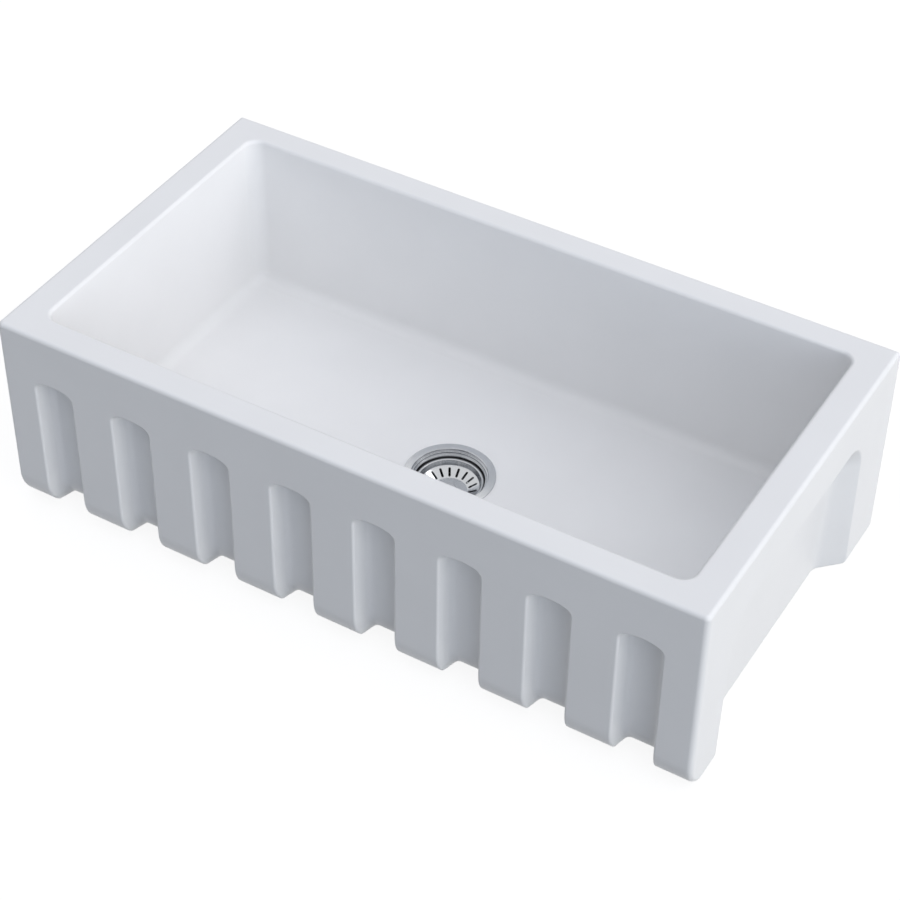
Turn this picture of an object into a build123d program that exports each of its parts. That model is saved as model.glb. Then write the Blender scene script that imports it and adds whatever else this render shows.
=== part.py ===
from build123d import *
import os
from math import asin, degrees, radians, tan

# Farmhouse apron-front kitchen sink in glazed fireclay, with its basket strainer waste.
# Millimetres. +X runs along the length, the fluted apron faces -Y and +Z is up. The
# origin is the middle of the bottom plane, on which the sink stands on its cabinet.

# ---------------------------------------------------------------- driving dimensions
# Fireclay block
sink_length = 838.2
sink_width = 457.2
sink_height = 254.0
corner_edge_r = 2.5        # upright corners
bottom_edge_r = 6.0
rim_outer_r = 5.0          # outer edge of the rim
rim_inner_r = 4.0          # rolled edge into the basin
foot_height = 40.0         # the apron starts to turn under at this height
foot_r = 45.0              # radius of that turn

# Basin
end_rim = 38.0
front_rim = 34.6
back_rim = 32.8
basin_depth = 200.0        # rim to the edge of the floor
basin_draft = 0.8          # degrees
basin_corner_r = 16.0      # at the rim
floor_corner_r = 20.0
floor_fillet_r = 15.0
floor_fall = 5.6           # edge of the floor to the waste
floor_eye_gap = 1.5        # level floor outside the waste flange
drain_y = 9.0              # the waste stands this far behind the middle
floor_thickness = 22.0     # fireclay under the waste
drain_hole_r = 45.0

# Flutes of the apron
flute_pitch = 100.66
flute_end_gap = 30.0       # least fireclay between the last flute and the corner
flute_width = 48.0         # at the face
flute_depth = 21.3
flute_slope = 12.0         # degrees, lean of the sides and top
flute_top_gap = 63.0       # rim to the top of a flute
flute_rise = 5.4           # of its arched top
flute_corner_r = 10.0
flute_inner_r = 8.0
flute_lip_r = 3.0
pilaster_foot_r = 20.0     # rounded lower corners of the pilasters

# Recess in each end wall
recess_front_block = 63.6  # apron face to the recess, half way up
recess_back_block = 73.6
recess_top_gap = 59.5
recess_depth_low = 27.0
recess_depth_high = 20.0
recess_slope = 45.0        # degrees, lean of its sides and top
recess_corner_r = 22.0     # at its back wall
recess_inner_r = 18.0
recess_lip_r = 3.0

# Hollow underside
base_wall = 14.0           # fireclay between the hollow and the flutes or recesses
base_back_wall = 30.0
base_corner_r = 25.0
base_draft = 3.0           # degrees
base_inner_r = 8.0
base_lip_r = 3.0

# Waste flange and cup, pressed from stainless sheet
flange_r = 52.25
flange_sheet = 1.0
flange_edge_r = 0.8
flange_seal_t = 0.5
flange_seal_gap = 0.6      # seal to the hole's edge and to the turned-down rim
land_r = 43.6              # inner edge of the flat band
step_width = 1.9
step_height = 3.2
step_count = 2
ring_r = 0.5               # bends of the rings
ledge_depth = 12.1         # flange top to the ledge that carries the basket
cup_mouth_r = 37.4
cup_foot_r = 33.5
cup_depth = 35.5           # flange top to the cup's floor
cup_floor_r = 3.0
cup_slot_count = 6
cup_slot_r = 19.5
cup_slot_width = 7.0
cup_slot_arc = 36.0        # degrees

# Waste body, moulded plastic, and what clamps it
lower_gasket_t = 3.0
gasket_margin = 1.0
body_flange_r = 56.0
body_flange_t = 4.0
body_wall = 2.6
body_bore_r = 41.0
bowl_straight = 14.0       # upright part of the bowl under its flange
bowl_cone = 14.0           # height of its cone
cone_drop = 2.0            # outside of the cone below its inside
outlet_thread_r = 23.9     # G 1 1/2 male thread
outlet_bore_r = 20.0
outlet_length = 18.0
outlet_chamfer = 1.0
boss_r = 8.5
boss_length = 19.0
boss_gap = 0.5             # cup floor to the boss
rib_count = 3              # each under a web between two slots of the cup
rib_t = 3.0
rib_height = 10.0
insert_r = 5.6
insert_length = 14.0
insert_groove = 2.0        # width of the groove that keys it in the moulding
insert_groove_t = 0.6
screw_r = 4.0
screw_end_gap = 2.0        # free hole under the screw's end
screw_head_r = 7.0
screw_head_h = 6.0
screw_reach = 15.0         # shank below the cup's floor
screw_socket_r = 3.4       # hexagon socket, across corners
screw_socket_depth = 3.5
screw_edge = 0.6
screw_washer_r = 9.5
screw_washer_t = 1.5
fit_gap = 0.05             # pieces that are pressed or screwed together
hole_gap = 0.3             # free holes

# Basket, its seal and its lifting stem
basket_sheet = 0.8
basket_bend_r = 1.0
lip_r = 38.0
lip_depth = 9.8            # flange top to the basket's lip
lip_width = 2.0
basket_wall_foot_r = 34.0
basket_wall_h = 6.7
disc_r = 20.5
disc_depth = 23.5          # flange top to the basket's flat floor
basket_slot_count = 18
basket_slot_width = 2.8
basket_slot_in_r = 21.6
basket_slot_out_r = 31.6
seal_t = 1.2
seal_wall_gap = 0.4        # seal to the cup's wall
rest_gap = 0.3             # between the turning basket and what it rests on
stem_r = 3.0
stem_fit = 0.05            # running fit of the basket on the stem
knob_r = 6.5
knob_h = 3.0
knob_edge_r = 1.2
knob_neck_r = 4.4
knob_top = 6.0             # basket floor to the top of the knob
stem_cover = 1.2           # knob left over the stem's end
clip_wall = 1.8
clip_fit = 0.05            # running fit round the head of the clamp screw
clip_skirt = 6.0
clip_roof = 1.6
clip_slit = 1.6
clip_slit_count = 3

# Cutting tools
clear = 30.0               # how far a tool stands out of the fireclay
under = 2.0                # how far it reaches past the bottom plane
nick = 0.05                # smallest step, keeps a tool off a face that it only touches

# ---------------------------------------------------------------- derived places
half_l = sink_length / 2
half_w = sink_width / 2
foot_reach = foot_r - (foot_r**2 - foot_height**2) ** 0.5
floor_edge_z = sink_height - basin_depth
drain_z = floor_edge_z - floor_fall
base_z = drain_z - floor_thickness

basin_l = sink_length - 2 * end_rim
basin_w = sink_width - front_rim - back_rim
basin_y = (front_rim - back_rim) / 2
basin_shrink = basin_depth * tan(radians(basin_draft))

flute_half = flute_width / 2
flute_run = sink_length - 2 * flute_end_gap - flute_width
flute_count = int(flute_run // flute_pitch) + 1
flute_top_z = sink_height - flute_top_gap
flute_back_y = flute_depth - half_w

flange_z = drain_z + flange_seal_t + flange_sheet
ledge_z = flange_z - ledge_depth
ledge_r = land_r - step_count * step_width
cup_floor_z = flange_z - cup_depth
cup_under_z = cup_floor_z - flange_sheet

gasket_z = base_z - lower_gasket_t
bowl_z = gasket_z - body_flange_t - bowl_straight
body_floor_z = bowl_z - bowl_cone
outlet_z = body_floor_z - outlet_length
boss_z = cup_under_z - boss_gap
head_z = cup_floor_z + screw_washer_t
screw_end_z = cup_under_z - screw_reach

lip_z = flange_z - lip_depth
disc_z = flange_z - disc_depth
clip_z = disc_z - basket_sheet - rest_gap
knob_z = disc_z + knob_top

drain_axis = Axis((0, drain_y, 0), (0, 0, 1))
drain_section = Plane.XZ.offset(-drain_y)


def drain_plane(z):
    """Level plane at height z, centred on the waste."""
    return Plane((0, drain_y, z))


def finish(piece, name, colour):
    """Labels a finished piece and writes its file."""
    piece.part.label = name
    piece.part.color = Color(*colour)
    export_step(piece.part, f"parts/{name}.step")


def air_ahead(face_y, reach, below):
    """Outline of the air ahead of an upright face that turns under at its foot."""
    turn_angle = degrees(asin(foot_height / foot_r))
    with BuildLine() as outline:
        turn = CenterArc((face_y + foot_r, foot_height), foot_r, 180, turn_angle)
        run = PolarLine(turn @ 1, below, direction=turn % 1)
        low = (run @ 1).Y
        high = sink_height + reach
        Polyline(run @ 1, (face_y - reach, low), (face_y - reach, high), (face_y, high), turn @ 0)
    return outline.line


def outer_edges(faces):
    """Edges round a patch of faces, without those between two of them."""
    edges = faces.edges()
    return edges.filter_by(lambda e: sum(e.is_same(o) for o in edges) == 1)


os.makedirs("parts", exist_ok=True)
steel = (0.75, 0.76, 0.78)
black = (0.08, 0.08, 0.08)
white = (0.93, 0.93, 0.92)
brass = (0.80, 0.65, 0.30)

# ---------------------------------------------------------------- tools for the fireclay
# One flute: drafted sides and top, and a back wall that turns under as the apron does.
# The arcs at its lower end round off the feet of the pilasters on both sides.
spring_z = flute_top_z - flute_rise
foot_z = pilaster_foot_r - nick
foot_x = flute_half + pilaster_foot_r

with BuildPart() as flute_tool:
    with BuildSketch(Plane.XZ.offset(half_w)):
        with BuildLine():
            SagittaArc((-flute_half, spring_z), (flute_half, spring_z), flute_rise)
            Line((flute_half, spring_z), (flute_half, foot_z))
            right_foot = CenterArc((foot_x, foot_z), pilaster_foot_r, 180, 90)
            Line((-flute_half, spring_z), (-flute_half, foot_z))
            left_foot = CenterArc((-foot_x, foot_z), pilaster_foot_r, 0, -90)
            Polyline(right_foot @ 1, (foot_x, -clear), (-foot_x, -clear), left_foot @ 1)
        make_face()
    extrude(amount=-(flute_depth + foot_reach + 2 * under), taper=flute_slope)
    fillet(flute_tool.edges().filter_by(
        lambda e: e.center().Z > spring_z - flute_half and e.bounding_box().size.Y > flute_depth),
        flute_corner_r)
    with BuildSketch(Plane.YZ.offset(-2 * flute_width)):
        with BuildLine():
            add(air_ahead(flute_back_y, clear, 2 * under))
        make_face()
    extrude(amount=4 * flute_width, mode=Mode.INTERSECT)
    back_wall = flute_tool.faces().filter_by(
        lambda f: f.geom_type in (GeomType.PLANE, GeomType.CYLINDER)
        and f.center().Y > flute_back_y - nick and f.center().Z > -under)
    fillet(outer_edges(back_wall).filter_by(lambda e: e.center().Z > 0), flute_inner_r)

# Basin: drafted walls, and a floor that falls to a level eye round the waste.
eye_r = flange_r + floor_eye_gap

with BuildPart() as basin_tool:
    with BuildSketch(Plane.XY.offset(floor_edge_z)) as floor_edge:
        with Locations((0, basin_y)):
            RectangleRounded(basin_l - 2 * basin_shrink, basin_w - 2 * basin_shrink,
                             floor_corner_r)
    with BuildSketch(Plane.XY.offset(sink_height)):
        with Locations((0, basin_y)):
            RectangleRounded(basin_l, basin_w, basin_corner_r)
    loft(ruled=True)
    with BuildSketch(drain_plane(drain_z)) as floor_eye:
        RectangleRounded(2 * eye_r, 2 * eye_r, eye_r - nick)
    loft([floor_edge.sketch, floor_eye.sketch], ruled=True)
    floor_line = basin_tool.edges().filter_by_position(
        Axis.Z, floor_edge_z - nick, floor_edge_z + nick)
    fillet(floor_line, floor_fillet_r)

# Recess of one end wall, drawn on its own back wall, which leans outwards to the top.
recess_top_z = sink_height - recess_top_gap
recess_mean = (recess_depth_low + recess_depth_high) / 2
recess_spread = tan(radians(recess_slope))
recess_y0 = recess_front_block - half_w + recess_mean * recess_spread
recess_y1 = half_w - recess_back_block - recess_mean * recess_spread
recess_lean = recess_depth_low - recess_depth_high
recess_plane = Plane((half_l - recess_depth_low, 0, 0), x_dir=(0, 1, 0),
                     z_dir=(recess_top_z, 0, -recess_lean))

with BuildPart() as recess_tool:
    with BuildSketch(recess_plane) as recess_outline:
        with Locations(((recess_y0 + recess_y1) / 2, -under)):
            Rectangle(recess_y1 - recess_y0,
                      recess_top_z - recess_depth_high * recess_spread + under,
                      align=(Align.CENTER, Align.MIN))
        fillet(recess_outline.vertices().group_by(Axis.Y)[-1], recess_corner_r)
    extrude(amount=recess_depth_low + under, taper=-recess_slope)
    inner_wall = recess_tool.faces().sort_by(Axis.X)[0]
    fillet(inner_wall.edges() - inner_wall.edges().group_by(Axis.Z)[0], recess_inner_r)

# Hollow under the basin.
base_half_l = half_l - recess_depth_low - base_wall
base_y0 = flute_back_y + foot_reach + base_wall
base_y1 = half_w - base_back_wall
base_shrink = base_z * tan(radians(base_draft))

with BuildPart() as base_tool:
    with BuildSketch(Plane.XY):
        with Locations((0, (base_y0 + base_y1) / 2)):
            RectangleRounded(2 * base_half_l, base_y1 - base_y0, base_corner_r)
    extrude(amount=base_z, taper=base_draft)
    fillet(base_tool.faces().sort_by(Axis.Z)[-1].edges(), min(base_inner_r, base_z / 3))

# ---------------------------------------------------------------- fireclay sink
with BuildPart() as sink_basin:
    Box(sink_length, sink_width, sink_height, align=(Align.CENTER, Align.CENTER, Align.MIN))
    with BuildSketch(Plane.YZ.offset(-half_l - clear)):
        with BuildLine():
            add(air_ahead(-half_w, clear, under))
        make_face()
    extrude(amount=sink_length + 2 * clear, mode=Mode.SUBTRACT)
    foot_line = sink_basin.edges().filter_by(Axis.X).filter_by_position(
        Axis.Z, foot_height - nick, foot_height + nick)
    rim_line = sink_basin.faces().sort_by(Axis.Z)[-1].edges()
    upright = sink_basin.edges().filter_by(Axis.Z)
    fillet(sink_basin.edges() - rim_line - foot_line - upright, bottom_edge_r)
    fillet(sink_basin.edges().filter_by(Axis.Z).filter_by(
        lambda e: e.length > sink_height / 2), corner_edge_r)
    fillet(sink_basin.faces().sort_by(Axis.Z)[-1].edges(), rim_outer_r)

    add(basin_tool.part, mode=Mode.SUBTRACT)
    rim = sink_basin.faces().filter_by(Plane.XY).sort_by(Axis.Z)[-1]
    fillet(rim.inner_wires().edges(), rim_inner_r)

    with Locations(*[((i - (flute_count - 1) / 2) * flute_pitch, 0) for i in range(flute_count)]):
        add(flute_tool.part, mode=Mode.SUBTRACT)
    apron = sink_basin.faces().filter_by(Plane.XZ).sort_by(Axis.Y)[0]
    fillet(apron.edges().filter_by(
        lambda e: foot_height + nick < e.center().Z < flute_top_z + nick
        and abs(e.center().X) < half_l - flute_end_gap / 2), flute_lip_r)

    add(recess_tool.part, mode=Mode.SUBTRACT)
    add(recess_tool.part.mirror(Plane.YZ), mode=Mode.SUBTRACT)
    for end in (1, -1):
        end_wall = sink_basin.faces().filter_by(Plane.YZ).sort_by(Axis.X)[-1 if end > 0 else 0]
        fillet(end_wall.edges().filter_by(
            lambda e: bottom_edge_r < e.center().Z < recess_top_z + nick
            and recess_front_block / 2 - half_w < e.center().Y < half_w - recess_back_block / 2),
            recess_lip_r)

    add(base_tool.part, mode=Mode.SUBTRACT)
    foot_face = sink_basin.faces().filter_by(Plane.XY).sort_by(Axis.Z)[0]
    fillet(foot_face.inner_wires().edges(), min(base_lip_r, base_z / 3))
    with BuildSketch(drain_plane(base_z - nick)):
        Circle(drain_hole_r)
    extrude(amount=floor_thickness + floor_fall, mode=Mode.SUBTRACT)
finish(sink_basin, "sink_basin", white)

# ---------------------------------------------------------------- flange, cup and seals
# Water side of the pressing: turned-down rim, flat band, rings, ledge, wall and floor.
rings = [(land_r - i * step_width, flange_z - (i + j) * step_height)
         for i in range(step_count) for j in range(2)]
cup_line = [(flange_r, drain_z), (flange_r, flange_z), *rings,
            (ledge_r, flange_z - step_count * step_height), (ledge_r, ledge_z),
            (cup_mouth_r, ledge_z), (cup_foot_r, cup_floor_z), (screw_r + hole_gap, cup_floor_z)]
bends = [flange_edge_r] + [ring_r] * (2 * step_count + 3) + [cup_floor_r]
slot_line = CenterArc((0, 0), cup_slot_r, -cup_slot_arc / 2, cup_slot_arc)

with BuildPart() as strainer_cup:
    with BuildSketch(drain_section):
        with BuildLine():
            FilletPolyline(*cup_line, radius=bends)
            offset(amount=flange_sheet, side=Side.LEFT)
        make_face()
    revolve(axis=drain_axis)
    with BuildSketch(drain_plane(cup_under_z - nick)):
        with PolarLocations(0, cup_slot_count):
            SlotArc(slot_line, cup_slot_width)
    extrude(amount=flange_sheet + 2 * nick, mode=Mode.SUBTRACT)
finish(strainer_cup, "strainer_cup", steel)

with BuildPart() as flange_seal:
    with BuildSketch(drain_plane(drain_z)):
        Circle(flange_r - flange_sheet - flange_seal_gap)
        Circle(drain_hole_r + flange_seal_gap, mode=Mode.SUBTRACT)
    extrude(amount=flange_seal_t)
finish(flange_seal, "flange_seal", black)

with BuildPart() as lower_gasket:
    with BuildSketch(drain_plane(gasket_z)):
        Circle(body_flange_r - gasket_margin)
        Circle(body_bore_r + gasket_margin, mode=Mode.SUBTRACT)
    extrude(amount=lower_gasket_t)
    chamfer(lower_gasket.edges().filter_by(GeomType.CIRCLE).sort_by(SortBy.RADIUS)[-2:],
            gasket_margin / 2)
finish(lower_gasket, "lower_gasket", black)

# ---------------------------------------------------------------- waste body and clamp
body_outer_r = body_bore_r + body_wall
web_turn = 180 / cup_slot_count

with BuildPart() as waste_body:
    with BuildSketch(drain_section):
        with BuildLine():
            Polyline((body_bore_r, gasket_z), (body_flange_r, gasket_z),
                     (body_flange_r, gasket_z - body_flange_t),
                     (body_outer_r, gasket_z - body_flange_t),
                     (body_outer_r, bowl_z - cone_drop),
                     (outlet_thread_r, body_floor_z - cone_drop),
                     (outlet_thread_r, outlet_z), (outlet_bore_r, outlet_z),
                     (outlet_bore_r, body_floor_z), (body_bore_r, bowl_z), close=True)
        make_face()
    revolve(axis=drain_axis)
    with BuildSketch(drain_plane(boss_z - rib_height)):
        with PolarLocations((boss_r + body_bore_r) / 2, rib_count, start_angle=web_turn):
            Rectangle(body_bore_r - boss_r + body_wall, rib_t)
    extrude(amount=rib_height)
    with BuildSketch(drain_plane(boss_z - boss_length)):
        Circle(boss_r)
    extrude(amount=boss_length)
    with BuildSketch(drain_plane(boss_z - insert_length - nick)):
        Circle(insert_r + fit_gap)
    extrude(amount=insert_length + 2 * nick, mode=Mode.SUBTRACT)
    with BuildSketch(drain_plane(screw_end_z - screw_end_gap)):
        Circle(screw_r + hole_gap)
    extrude(amount=boss_length, mode=Mode.SUBTRACT)
    foot = waste_body.faces().filter_by(Plane.XY).sort_by(Axis.Z)[0]
    chamfer(foot.outer_wire().edges(), outlet_chamfer)
finish(waste_body, "waste_body", white)

with BuildPart() as thread_insert:
    with BuildSketch(drain_plane(boss_z - insert_length)):
        Circle(insert_r)
        Circle(screw_r + fit_gap, mode=Mode.SUBTRACT)
    extrude(amount=insert_length)
    with BuildSketch(drain_plane(boss_z - insert_length / 2)):
        Circle(insert_r)
        Circle(insert_r - insert_groove_t, mode=Mode.SUBTRACT)
    extrude(amount=insert_groove / 2, both=True, mode=Mode.SUBTRACT)
finish(thread_insert, "thread_insert", brass)

with BuildPart() as screw_washer:
    with BuildSketch(drain_plane(cup_floor_z)):
        Circle(screw_washer_r)
        Circle(screw_r + hole_gap, mode=Mode.SUBTRACT)
    extrude(amount=screw_washer_t)
finish(screw_washer, "screw_washer", black)

with BuildPart() as clamp_screw:
    with BuildSketch(drain_plane(screw_end_z)):
        Circle(screw_r)
    extrude(amount=head_z - screw_end_z)
    with BuildSketch(drain_plane(head_z)):
        Circle(screw_head_r)
    extrude(amount=screw_head_h)
    with BuildSketch(drain_plane(head_z + screw_head_h)):
        RegularPolygon(screw_socket_r, 6)
    extrude(amount=-screw_socket_depth, mode=Mode.SUBTRACT)
    rounds = clamp_screw.edges().filter_by(GeomType.CIRCLE)
    chamfer([rounds.sort_by(Axis.Z)[0], rounds.sort_by(Axis.Z)[-1]], screw_edge)
finish(clamp_screw, "clamp_screw", steel)

# ---------------------------------------------------------------- basket
wall_foot_z = lip_z - basket_wall_h
basket_line = [(lip_r, lip_z), (lip_r - lip_width, lip_z), (basket_wall_foot_r, wall_foot_z),
               (disc_r, disc_z), (stem_r + stem_fit, disc_z)]
slot_length = basket_slot_out_r - basket_slot_in_r
slot_mid_r = (basket_slot_out_r + basket_slot_in_r) / 2

with BuildPart() as basket_cup:
    with BuildSketch(drain_section):
        with BuildLine():
            FilletPolyline(*basket_line, radius=basket_bend_r)
            offset(amount=basket_sheet, side=Side.LEFT)
        make_face()
    revolve(axis=drain_axis)
    with BuildSketch(drain_plane(disc_z - 2 * basket_sheet)):
        with PolarLocations(slot_mid_r, basket_slot_count):
            SlotOverall(slot_length, basket_slot_width)
    extrude(amount=disc_depth, mode=Mode.SUBTRACT)
finish(basket_cup, "basket_cup", steel)

seal_in_r = lip_r - lip_width + basket_sheet + fit_gap
seal_out_r = ledge_r - seal_wall_gap
seal_z = ledge_z + rest_gap
lip_under_z = lip_z - basket_sheet

with BuildPart() as basket_seal:
    with BuildSketch(drain_section):
        with BuildLine():
            Polyline((seal_in_r, seal_z), (seal_out_r, seal_z), (seal_out_r, lip_z - fit_gap),
                     (lip_r + fit_gap, lip_z - fit_gap), (lip_r + fit_gap, lip_under_z),
                     (seal_in_r, lip_under_z), close=True)
        make_face()
    revolve(axis=drain_axis)
finish(basket_seal, "basket_seal", black)

# ---------------------------------------------------------------- lifting stem
clip_in_r = screw_head_r + clip_fit
clip_out_r = clip_in_r + clip_wall

with BuildPart() as basket_stem:
    with BuildSketch(drain_plane(clip_z - clip_roof)):
        Circle(stem_r)
    extrude(amount=knob_z - stem_cover - clip_z + clip_roof)
    chamfer(basket_stem.edges().filter_by(GeomType.CIRCLE).sort_by(Axis.Z)[-1], screw_edge)
finish(basket_stem, "basket_stem", steel)

with BuildPart() as basket_knob:
    with BuildSketch(drain_plane(disc_z + rest_gap)):
        Circle(knob_neck_r)
    extrude(amount=knob_top - knob_h - rest_gap)
    with BuildSketch(drain_plane(knob_z - knob_h)):
        Circle(knob_r)
    extrude(amount=knob_h)
    fillet(basket_knob.edges().filter_by(GeomType.CIRCLE).sort_by(Axis.Z)[-1], knob_edge_r)
    with BuildSketch(drain_plane(disc_z)):
        Circle(stem_r + fit_gap)
    extrude(amount=knob_top - stem_cover, mode=Mode.SUBTRACT)
finish(basket_knob, "basket_knob", steel)

with BuildPart() as stem_clip:
    with BuildSketch(drain_plane(clip_z - clip_roof - clip_skirt)):
        Circle(clip_out_r)
    extrude(amount=clip_roof + clip_skirt)
    with BuildSketch(drain_plane(clip_z - clip_roof - clip_skirt)):
        Circle(clip_in_r)
    extrude(amount=clip_skirt, mode=Mode.SUBTRACT)
    with BuildSketch(drain_plane(clip_z)):
        Circle(stem_r + fit_gap)
    extrude(amount=-clip_roof, mode=Mode.SUBTRACT)
    with BuildSketch(drain_plane(clip_z - clip_roof - clip_skirt)):
        with PolarLocations((clip_in_r + clip_out_r) / 2, clip_slit_count):
            Rectangle(2 * clip_wall, clip_slit)
    extrude(amount=clip_skirt, mode=Mode.SUBTRACT)
finish(stem_clip, "stem_clip", white)
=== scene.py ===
from math import cos, radians, sin

import bpy
from mathutils import Matrix, Vector

# Farmhouse apron front sink with its basket waste, dressed and lit. Every shape of it comes
# from the CAD frame; this script gives the finishes, the light, the floor and the camera.
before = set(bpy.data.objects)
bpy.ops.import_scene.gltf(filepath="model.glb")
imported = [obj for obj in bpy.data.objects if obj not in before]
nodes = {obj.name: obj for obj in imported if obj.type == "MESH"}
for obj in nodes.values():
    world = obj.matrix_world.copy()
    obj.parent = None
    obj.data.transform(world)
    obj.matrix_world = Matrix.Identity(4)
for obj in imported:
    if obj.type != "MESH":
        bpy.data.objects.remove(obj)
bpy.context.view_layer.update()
MM = 0.001                    # the scene is in metres

# ---------------------------------------------------------------- places on the sink
# The axis of the waste and the top of its flange are read from the spun cup.
cup_corners = [Vector(corner) for corner in nodes["strainer_cup"].bound_box]
DRAIN_Y = sum(corner.y for corner in cup_corners) / len(cup_corners)
FLANGE_TOP = max(corner.z for corner in cup_corners)
FLANGE_POLISH = 0.5 * MM      # the bright polish of the flange ends this far below its top

SOLE_EDGE = 0.4 * MM          # the glaze ends this far above the face the sink stands on
HOLLOW_TOP = 27 * MM          # the hollow below the basin, as a box round its middle
HOLLOW_HALF_LENGTH = 374 * MM
HOLLOW_HALF_WIDTH = 187 * MM
HOLLOW_MIDDLE_Y = 15 * MM

# ---------------------------------------------------------------- camera
# A long lens, turned 30 degrees from the apron and looking 42 degrees down.
CAMERA_PLACE = Vector((0.9711, -1.6608, 1.8212))
CAMERA_YAW = radians(30.175)
CAMERA_DIP = radians(41.922)
CAMERA_ROLL = radians(-0.852)
LENS_MM = 94.16
SENSOR_MM = 36
SIGHT_END = 50

ahead = Vector((-sin(CAMERA_YAW) * cos(CAMERA_DIP), cos(CAMERA_YAW) * cos(CAMERA_DIP),
                -sin(CAMERA_DIP)))
level_right = ahead.cross(Vector((0, 0, 1))).normalized()
level_down = ahead.cross(level_right)
right = cos(CAMERA_ROLL) * level_right + sin(CAMERA_ROLL) * level_down
down = cos(CAMERA_ROLL) * level_down - sin(CAMERA_ROLL) * level_right

lens = bpy.data.cameras.new("studio_camera")
lens.sensor_width = SENSOR_MM
lens.lens = LENS_MM
lens.clip_end = SIGHT_END
camera = bpy.data.objects.new("studio_camera", lens)
camera.matrix_world = Matrix.Translation(CAMERA_PLACE) @ Matrix(
    (right, -down, -ahead)).transposed().to_4x4()
bpy.context.scene.collection.objects.link(camera)
bpy.context.scene.camera = camera
bpy.context.scene.view_settings.view_transform = "Standard"


# ---------------------------------------------------------------- how a finish is built
def linear(hex_colour):
    """Linear colour of an sRGB hex value."""
    channels = [int(hex_colour[i:i + 2], 16) / 255 for i in (1, 3, 5)]
    return tuple(c / 12.92 if c <= 0.04045 else ((c + 0.055) / 1.055) ** 2.4
                 for c in channels) + (1.0,)


def add_node(tree, kind, inputs=(), take=0, **settings):
    """Adds one node, sets or links its inputs, and returns the output that take names."""
    node = tree.nodes.new("ShaderNode" + kind)
    for name, value in settings.items():
        setattr(node, name, value)
    for socket, value in dict(inputs).items():
        if isinstance(value, bpy.types.NodeSocket):
            tree.links.new(value, node.inputs[socket])
        else:
            node.inputs[socket].default_value = value
    return node.outputs[take] if node.outputs else None


def new_material(name, roughness, metallic=0.0, ior=1.5):
    """A material with one surface shader. Returns material, tree, shader and coordinates."""
    material = bpy.data.materials.new(name)
    material.use_nodes = True
    tree = material.node_tree
    tree.nodes.clear()
    surface = add_node(tree, "BsdfPrincipled", {"Roughness": roughness, "Metallic": metallic})
    if not metallic:
        surface.node.inputs["IOR"].default_value = ior
    add_node(tree, "OutputMaterial", {"Surface": surface})
    place = add_node(tree, "TexCoord", take="Object")
    return material, tree, surface.node, place


def dress(tree, shader, colour, roughness, relief):
    """Links colour, roughness and relief, which is a list of patterns and heights in mm."""
    tree.links.new(colour, shader.inputs["Base Color"])
    tree.links.new(roughness, shader.inputs["Roughness"])
    before = {}
    for pattern, height_mm in relief:
        normal = add_node(tree, "Bump", {
            "Height": pattern, "Distance": height_mm * MM, "Strength": 1.0, **before})
        before = {"Normal": normal}
    tree.links.new(normal, shader.inputs["Normal"])


def turned_rings(tree, place, pitch_mm):
    """Rings round the axis of the waste, uneven as a lathe or a spinning roller leaves them;
    also used to place painted dark reflection rings.
    """
    from_axis = add_node(tree, "VectorMath", {0: place, 1: (0.0, DRAIN_Y, 0.0)},
                         operation="SUBTRACT")
    level = add_node(tree, "VectorMath", {0: from_axis, 1: (1.0, 1.0, 0.0)},
                     operation="MULTIPLY")
    radius = add_node(tree, "VectorMath", {0: level}, take="Value", operation="LENGTH")
    height = add_node(tree, "SeparateXYZ", {0: place}, take="Z")
    section = add_node(tree, "CombineXYZ", {"X": radius, "Z": height})
    return add_node(tree, "TexNoise", {
        "Vector": section, "Scale": 1 / (pitch_mm * MM), "Detail": 3.0, "Roughness": 0.6})


# ---------------------------------------------------------------- glazed fireclay
# Fireclay, slip cast and glazed. The eye sees an even white with faint clouds, a slight
# orange peel in the shine and long soft waves of the casting. The sole it was fired on and
# the hollow below the basin are left bare, as a dull and speckled biscuit.
glaze, tree, shader, place = new_material("glazed_fireclay", 0.30, ior=1.42)
cloud = add_node(tree, "TexNoise", {"Vector": place, "Scale": 1 / (90 * MM)})
peel = add_node(tree, "TexNoise", {"Vector": place, "Scale": 1 / (5 * MM)})
wave = add_node(tree, "TexNoise", {"Vector": place, "Scale": 1 / (60 * MM), "Detail": 0.0})
speckle = add_node(tree, "TexNoise", {"Vector": place, "Scale": 1 / (3 * MM)})

along, across, up = add_node(tree, "SeparateXYZ", {0: place}).node.outputs
sole = add_node(tree, "Math", {0: up, 1: SOLE_EDGE}, operation="LESS_THAN")
low = add_node(tree, "Math", {0: up, 1: HOLLOW_TOP}, operation="LESS_THAN")
in_length = add_node(tree, "Math", {0: along, 1: 0.0, 2: HOLLOW_HALF_LENGTH},
                     operation="COMPARE")
in_width = add_node(tree, "Math", {0: across, 1: HOLLOW_MIDDLE_Y, 2: HOLLOW_HALF_WIDTH},
                    operation="COMPARE")
in_plan = add_node(tree, "Math", {0: in_length, 1: in_width}, operation="MULTIPLY")
hollow = add_node(tree, "Math", {0: low, 1: in_plan}, operation="MULTIPLY")
bare = add_node(tree, "Math", {0: sole, 1: hollow}, operation="MAXIMUM")

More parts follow.
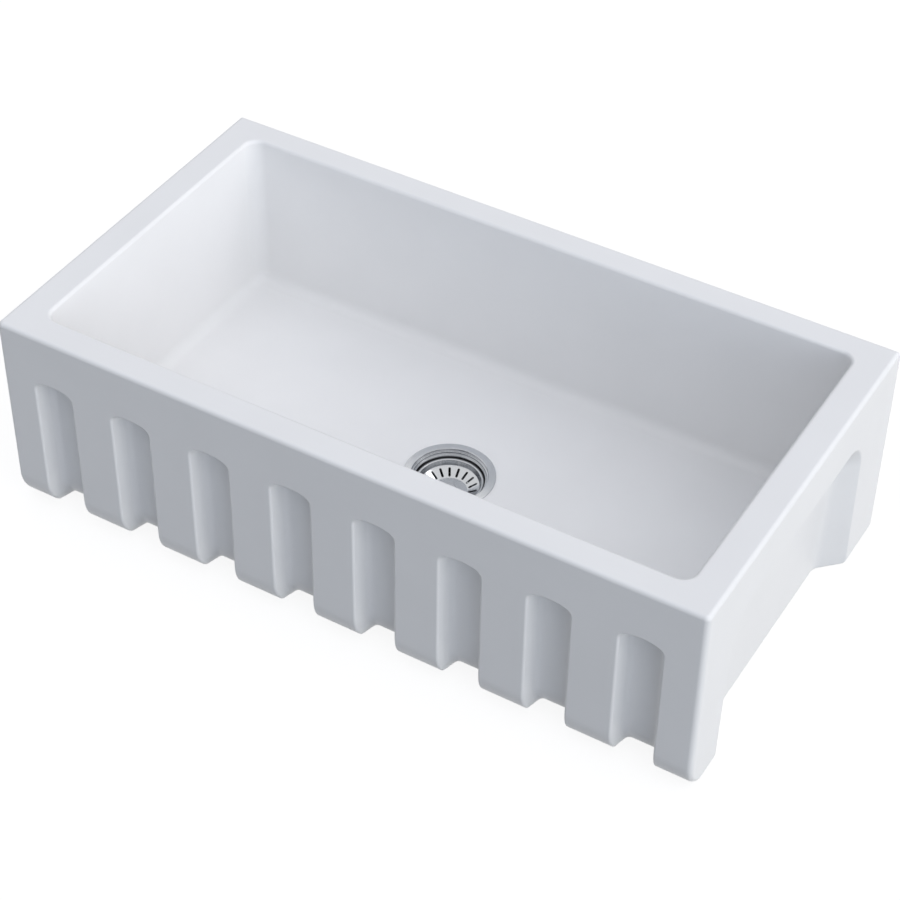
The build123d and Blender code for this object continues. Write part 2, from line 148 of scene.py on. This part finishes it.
white = add_node(tree, "Mix", {0: cloud, 6: linear("#EDEDED"), 7: linear("#F2F2F2")},
                 take=2, data_type="RGBA")
biscuit = add_node(tree, "Mix", {0: speckle, 6: linear("#D3CBBB"), 7: linear("#E0D9CB")},
                   take=2, data_type="RGBA")
colour = add_node(tree, "Mix", {0: bare, 6: white, 7: biscuit}, take=2, data_type="RGBA")
shine = add_node(tree, "MapRange", {"Value": peel, "To Min": 0.27, "To Max": 0.33})
dull = add_node(tree, "Math", {0: bare, 1: 0.85}, operation="MULTIPLY")
roughness = add_node(tree, "Math", {0: shine, 1: dull}, operation="MAXIMUM")
dress(tree, shader, colour, roughness, [(wave, 0.10), (peel, 0.012)])

# ---------------------------------------------------------------- stainless steel
# Stainless steel sheet, pressed and polished: bright, with fine rings left by the buffing.
# The rings are drawn 0.35 mm apart, coarser than real ones, so that they show.
POLISH_PITCH_MM = 0.35
pressed, tree, shader, place = new_material("pressed_stainless", 0.16, metallic=1.0)
rings = turned_rings(tree, place, POLISH_PITCH_MM)
colour = add_node(tree, "Mix", {0: rings, 6: linear("#BFC1C4"), 7: linear("#D2D4D7")},
                  take=2, data_type="RGBA")
roughness = add_node(tree, "MapRange", {"Value": rings, "To Min": 0.10, "To Max": 0.20})
dress(tree, shader, colour, roughness, [(rings, 0.004)])

# Stainless steel sheet, spun over a former: the flange is polished smooth. The cup below it
# gets painted dark rings, 1.8 mm apart, standing in for reflected dark bands, and its polish is
# lighter than the pressed steel's, partly a painted highlight.
PAINTED_RING_PITCH_MM = 1.8
RING_CONTRAST = 4.5
RING_SHIFT = -1.9             # leaves only the stronger rings dark
spun, tree, shader, place = new_material("spun_stainless", 0.16, metallic=1.0)
rings = turned_rings(tree, place, POLISH_PITCH_MM)
# painted reflection: a coarse ring pattern that places dark rings in the cup where reflections
# would be dark
painted_ring_pattern = turned_rings(tree, place, PAINTED_RING_PITCH_MM)
up = add_node(tree, "SeparateXYZ", {0: place}, take="Z")
in_cup = add_node(tree, "Math", {0: up, 1: FLANGE_TOP - FLANGE_POLISH}, operation="LESS_THAN")
strong = add_node(tree, "Math", {0: painted_ring_pattern, 1: RING_CONTRAST, 2: RING_SHIFT},
                  operation="MULTIPLY_ADD", use_clamp=True)
painted_reflection_rings = add_node(tree, "Math", {0: in_cup, 1: strong}, operation="MULTIPLY")
# partly a painted highlight: the polished colour is lighter than the pressed steel's, to show
# bright reflected lines
polish_and_sheen = add_node(tree, "Mix", {0: rings, 6: linear("#C8CACD"), 7: linear("#E0E2E5")},
                    take=2, data_type="RGBA")
# painted reflection: the dark rings are mixed in here, in the cup only
colour = add_node(tree, "Mix", {0: painted_reflection_rings, 6: polish_and_sheen, 7: linear("#8A8D92")},
                  take=2, data_type="RGBA")
roughness = add_node(tree, "MapRange", {"Value": rings, "To Min": 0.10, "To Max": 0.20})
dress(tree, shader, colour, roughness, [(rings, 0.004)])

# Stainless steel bar, turned and left satin: softer highlights, with the tool's fine rings.
satin, tree, shader, place = new_material("satin_stainless", 0.3, metallic=1.0)
rings = turned_rings(tree, place, pitch_mm=0.2)
colour = add_node(tree, "Mix", {0: rings, 6: linear("#B4B6BA"), 7: linear("#CBCDD1")},
                  take=2, data_type="RGBA")
roughness = add_node(tree, "MapRange", {"Value": rings, "To Min": 0.24, "To Max": 0.36})
dress(tree, shader, colour, roughness, [(rings, 0.003)])

# ---------------------------------------------------------------- rubber, plastic and brass
# Nitrile rubber, moulded: black and dull, with a finely pitted skin and patches of bloom.
rubber, tree, shader, place = new_material("nitrile_rubber", 0.6)
pits = add_node(tree, "TexNoise", {"Vector": place, "Scale": 1 / (0.7 * MM)})
bloom = add_node(tree, "TexNoise", {"Vector": place, "Scale": 1 / (14 * MM)})
colour = add_node(tree, "Mix", {0: bloom, 6: linear("#121213"), 7: linear("#1C1C1E")},
                  take=2, data_type="RGBA")
roughness = add_node(tree, "MapRange", {"Value": pits, "To Min": 0.50, "To Max": 0.66})
dress(tree, shader, colour, roughness, [(pits, 0.02)])

# Polypropylene, injection moulded: off-white and half matt, with the fine skin of the mould
# and broad marks of the flow.
plastic, tree, shader, place = new_material("moulded_polypropylene", 0.45)
skin = add_node(tree, "TexNoise", {"Vector": place, "Scale": 1 / (0.5 * MM)})
flow = add_node(tree, "TexNoise", {"Vector": place, "Scale": 1 / (22 * MM)})
colour = add_node(tree, "Mix", {0: flow, 6: linear("#DEDEDA"), 7: linear("#E8E8E5")},
                  take=2, data_type="RGBA")
roughness = add_node(tree, "MapRange", {"Value": skin, "To Min": 0.40, "To Max": 0.52})
dress(tree, shader, colour, roughness, [(skin, 0.02)])

# Brass bar, turned: yellow, with the tool's rings in its shine and spots of light tarnish.
brass, tree, shader, place = new_material("turned_brass", 0.28, metallic=1.0)
rings = turned_rings(tree, place, pitch_mm=0.3)
tarnish = add_node(tree, "TexNoise", {"Vector": place, "Scale": 1 / (4 * MM)})
colour = add_node(tree, "Mix", {0: tarnish, 6: linear("#B98F45"), 7: linear("#D2AC5C")},
                  take=2, data_type="RGBA")
roughness = add_node(tree, "MapRange", {"Value": rings, "To Min": 0.22, "To Max": 0.36})
dress(tree, shader, colour, roughness, [(rings, 0.005)])

FINISHES = {
    "sink_basin": glaze,
    "flange_seal": rubber,
    "strainer_cup": spun,
    "lower_gasket": rubber,
    "waste_body": plastic,
    "thread_insert": brass,
    "clamp_screw": pressed,
    "screw_washer": rubber,
    "basket_cup": pressed,
    "basket_seal": rubber,
    "basket_stem": pressed,
    "basket_knob": satin,
    "stem_clip": plastic,
}
for name, finish in FINISHES.items():
    nodes[name].data.materials.clear()
    nodes[name].data.materials.append(finish)

# ---------------------------------------------------------------- lamps
SINK_MIDDLE = Vector((0, 0, 0.12))
LAMPS = {  # square soft boxes: place, size, tint and power in watts
    "low_right": ((3.0, -0.8, 0.5), 1.4, (0.66, 0.86, 1.0), 4.9),
    "waste_glint": ((1.1, 1.4, 2.5), 0.5, (1.0, 1.0, 1.0), 2.0),
}
for name, (place, size, tint, power) in LAMPS.items():
    lamp = bpy.data.lights.new(name, "AREA")
    lamp.shape = "SQUARE"
    lamp.size = size
    lamp.energy = power
    lamp.color = tint
    holder = bpy.data.objects.new(name, lamp)
    holder.location = place
    aim = SINK_MIDDLE - Vector(place)
    holder.rotation_euler = aim.to_track_quat("-Z", "Y").to_euler()
    bpy.context.scene.collection.objects.link(holder)

# ---------------------------------------------------------------- room
# The room lights the sink from its own directions, and is white where it is looked at.
SKY = {  # light of the room: direction, sharpness, tint and strength
    "sky_right": ((0.96, -0.28, 0), 12, (1.0, 0.95, 0.87), 3.65),
    "sky_right_high": ((0.8, 0, 0.6), 5, (1.0, 0.95, 0.93), 1.07),
    "sky_front_right": ((0.8, -0.6, 0), 5, (0.32, 0.60, 1.0), 0.75),
    "sky_above": ((0, 0, 1), 1, (0.89, 0.925, 1.0), 0.94),
}
BACKDROP = 1.0                # 1 is white


def seen_directly(tree):
    """1 for rays of the camera, of a reflection or through glass."""
    camera_ray = add_node(tree, "LightPath", take="Is Camera Ray")
    rays = camera_ray.node.outputs
    mirrored = add_node(tree, "Math", {
        0: rays["Is Glossy Ray"], 1: rays["Is Transmission Ray"]}, operation="MAXIMUM")
    return add_node(tree, "Math", {0: camera_ray, 1: mirrored}, operation="MAXIMUM")


world = bpy.data.worlds.new("studio")
bpy.context.scene.world = world
world.use_nodes = True
tree = world.node_tree
tree.nodes.clear()
outwards = add_node(tree, "TexCoord", take="Generated")
room = (0.0, 0.0, 0.0)
for direction, sharpness, tint, strength in SKY.values():
    facing = add_node(tree, "VectorMath", {0: outwards, 1: direction}, take="Value",
                      operation="DOT_PRODUCT")
    towards = add_node(tree, "Math", {0: facing, 1: 0.0}, operation="MAXIMUM")
    gathered = add_node(tree, "Math", {0: towards, 1: float(sharpness)}, operation="POWER")
    lit = add_node(tree, "Math", {0: gathered, 1: strength}, operation="MULTIPLY")
    room = add_node(tree, "VectorMath", {0: lit, 1: tint, 2: room}, operation="MULTIPLY_ADD")
light = add_node(tree, "Background", {"Color": room, "Strength": 1.0})
backdrop = add_node(tree, "Background", {"Color": linear("#FFFFFF"), "Strength": BACKDROP})
either = add_node(tree, "MixShader", {0: seen_directly(tree), 1: light, 2: backdrop})
add_node(tree, "OutputWorld", {"Surface": either})

# ---------------------------------------------------------------- floor
# Paper under the foot, open where the waste hangs below it. It glows to white where it is
# looked at, keeps the shadow, and is clear when seen from below.
FLOOR_HOLE_R = 70 * MM
FLOOR_HOLE_SIDES = 96
FLOOR_SPREAD = 90             # its outer edge, in radii of the hole
FLOOR_GLOW = 0.88             # of the backdrop's white; the rest is light, so a shadow stays

bpy.ops.object.select_all(action="DESELECT")
bpy.ops.mesh.primitive_circle_add(vertices=FLOOR_HOLE_SIDES, radius=FLOOR_HOLE_R,
                                  location=(0, DRAIN_Y, 0))
floor = bpy.context.object
floor.name = "studio_floor"
bpy.ops.object.mode_set(mode="EDIT")
bpy.ops.mesh.select_all(action="SELECT")
bpy.ops.mesh.extrude_region_move()
bpy.ops.transform.resize(value=(FLOOR_SPREAD, FLOOR_SPREAD, 1),
                         center_override=(0, DRAIN_Y, 0))
bpy.ops.mesh.select_all(action="SELECT")
bpy.ops.mesh.normals_make_consistent(inside=False)
bpy.ops.object.mode_set(mode="OBJECT")

paper, tree, shader, place = new_material("backdrop_paper", 0.9)
shader.inputs["Base Color"].default_value = linear("#707070")
shader.inputs["Emission Color"].default_value = linear("#FFFFFF")
glow = add_node(tree, "Math", {0: seen_directly(tree), 1: FLOOR_GLOW * BACKDROP},
                operation="MULTIPLY")
tree.links.new(glow, shader.inputs["Emission Strength"])
below = add_node(tree, "NewGeometry", take="Backfacing")
clear = add_node(tree, "BsdfTransparent")
either = add_node(tree, "MixShader", {0: below, 1: shader.outputs[0], 2: clear})
ending = next(node for node in tree.nodes if node.type == "OUTPUT_MATERIAL")
tree.links.new(either, ending.inputs["Surface"])
floor.data.materials.append(paper)
